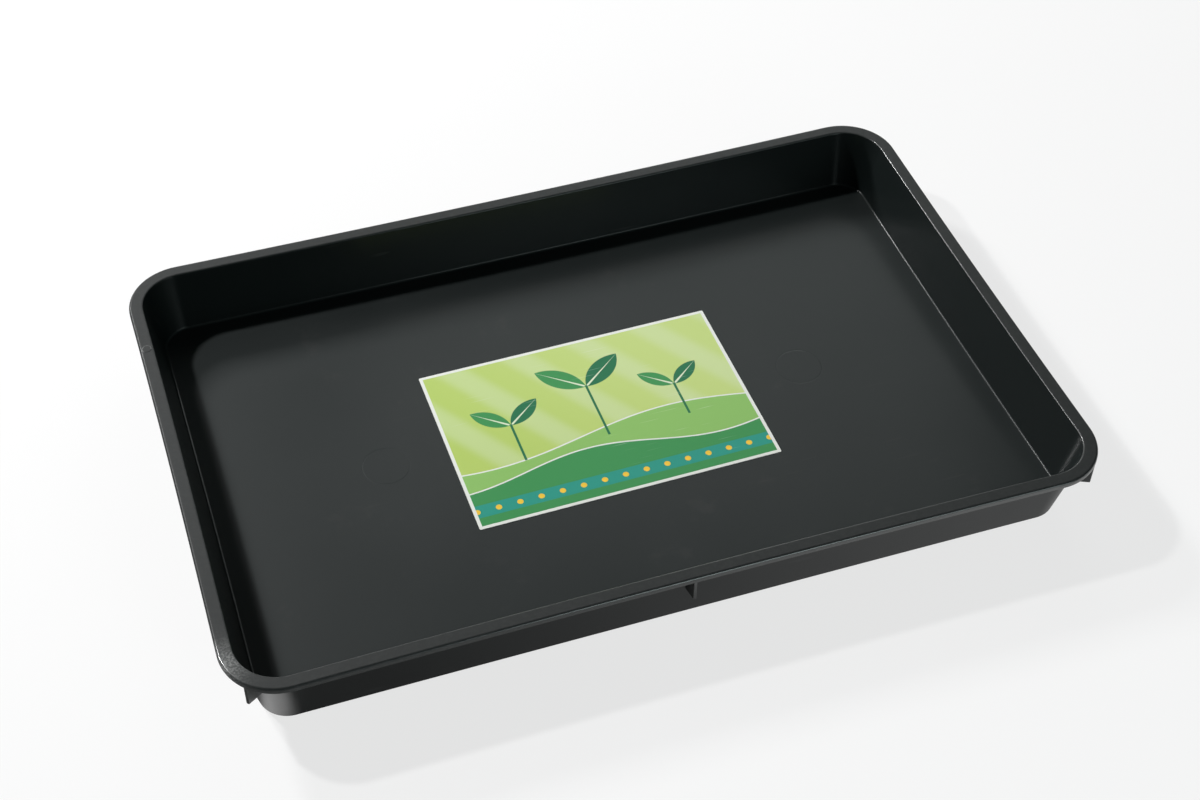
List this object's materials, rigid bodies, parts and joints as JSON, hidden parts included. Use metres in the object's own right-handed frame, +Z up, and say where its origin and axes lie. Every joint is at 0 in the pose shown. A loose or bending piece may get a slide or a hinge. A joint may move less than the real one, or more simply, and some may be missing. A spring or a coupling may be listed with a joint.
{
  "type": "potting soil tray",
  "caption": "Shallow rectangular black plastic potting tray with drafted walls, flat rim with turned-down lip, stacking nibs, foot skirt and a printed sticker on its floor.",
  "frame": {"origin": "middle of the foot, on the surface that the tray stands on", "axes": "+Z up out of the mouth, +X along the long side, +Y towards the back long side"},
  "size_m": [0.57, 0.376, 0.054],
  "materials": {
    "tray_plastic": "satin black recycled plastic with a fine moulded texture",
    "label_film": "printed satin film in lime and leaf green with a white border",
    "label_adhesive": "clear tacky film"
  },
  "bodies": {
    "root": {"tray": "tray_plastic", "label": "label_film", "label_adhesive": "label_adhesive"}
  },
  "joints": []
}
